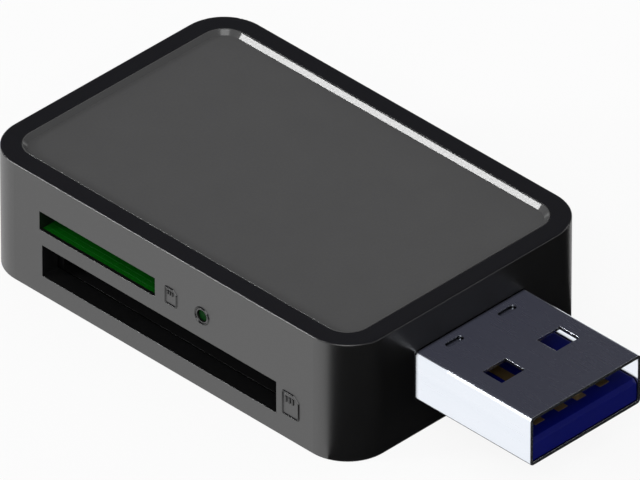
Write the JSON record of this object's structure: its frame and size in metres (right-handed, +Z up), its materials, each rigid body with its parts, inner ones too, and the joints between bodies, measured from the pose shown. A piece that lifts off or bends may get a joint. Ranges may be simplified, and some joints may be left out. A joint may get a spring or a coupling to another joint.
{
  "type": "usb memory card reader",
  "caption": "Pocket memory card reader: black box with an inset grey panel, a wide and a narrow card slot in one side, an activity light and a fixed plug at one end.",
  "frame": {"origin": "centre of the housing's flat underside, not counting the plug", "axes": "+X along the plug, out of the housing; -Y out of the card slots; +Z up through the panel"},
  "size_m": [0.0523, 0.0264, 0.0109],
  "materials": {
    "housing_black": "moulded ABS, fine satin",
    "lid_grey": "moulded ABS, fine matt texture",
    "board_green": "glass-epoxy laminate under green solder mask",
    "pipe_green": "clear green polycarbonate",
    "lamp_white": "moulded white",
    "plug_steel": "nickel-plated rolled steel",
    "tongue_blue": "moulded blue PBT",
    "contact_gold": "gold-plated phosphor bronze",
    "socket_black": "moulded black LCP",
    "socket_steel": "tin-plated steel",
    "chip_black": "moulded epoxy",
    "lead_tin": "tin-plated copper",
    "crystal_steel": "bare metal cap",
    "capacitor_tan": "fired ceramic",
    "resistor_black": "glazed film"
  },
  "bodies": {
    "root": {"activity_led": "lamp_white", "base_housing": "housing_black", "bulk_capacitor": "capacitor_tan", "capacitor_1": "capacitor_tan", "capacitor_2": "capacitor_tan", "capacitor_3": "capacitor_tan", "capacitor_4": "capacitor_tan", "capacitor_5": "capacitor_tan", "capacitor_6": "capacitor_tan", "circuit_board": "board_green", "controller_chip": "chip_black", "controller_leads": "lead_tin", "crystal_can": "crystal_steel", "esd_array_1": "chip_black", "esd_array_2": "chip_black", "large_contact_1": "contact_gold", "large_contact_2": "contact_gold", "large_contact_3": "contact_gold", "large_contact_4": "contact_gold", "large_contact_5": "contact_gold", "large_contact_6": "contact_gold", "large_contact_7": "contact_gold", "large_contact_8": "contact_gold", "large_contact_9": "contact_gold", "large_detect_spring": "contact_gold", "large_protect_spring": "contact_gold", "large_socket_base": "socket_black", "large_socket_cover": "socket_steel", "lid_panel": "lid_grey", "light_pipe": "pipe_green", "plug_contact_1": "contact_gold", "plug_contact_2": "contact_gold", "plug_contact_3": "contact_gold", "plug_contact_4": "contact_gold", "plug_insulator": "tongue_blue", "plug_rear_contact_1": "contact_gold", "plug_rear_contact_2": "contact_gold", "plug_rear_contact_3": "contact_gold", "plug_rear_contact_4": "contact_gold", "plug_rear_contact_5": "contact_gold", "plug_shell": "plug_steel", "regulator_chip": "chip_black", "regulator_leads": "lead_tin", "resistor_1": "resistor_black", "resistor_2": "resistor_black", "resistor_3": "resistor_black", "resistor_4": "resistor_black", "small_contact_1": "contact_gold", "small_contact_2": "contact_gold", "small_contact_3": "contact_gold", "small_contact_4": "contact_gold", "small_contact_5": "contact_gold", "small_contact_6": "contact_gold", "small_contact_7": "contact_gold", "small_contact_8": "contact_gold", "small_detect_spring": "contact_gold", "small_socket_base": "socket_black", "small_socket_cover": "socket_steel"}
  },
  "joints": []
}
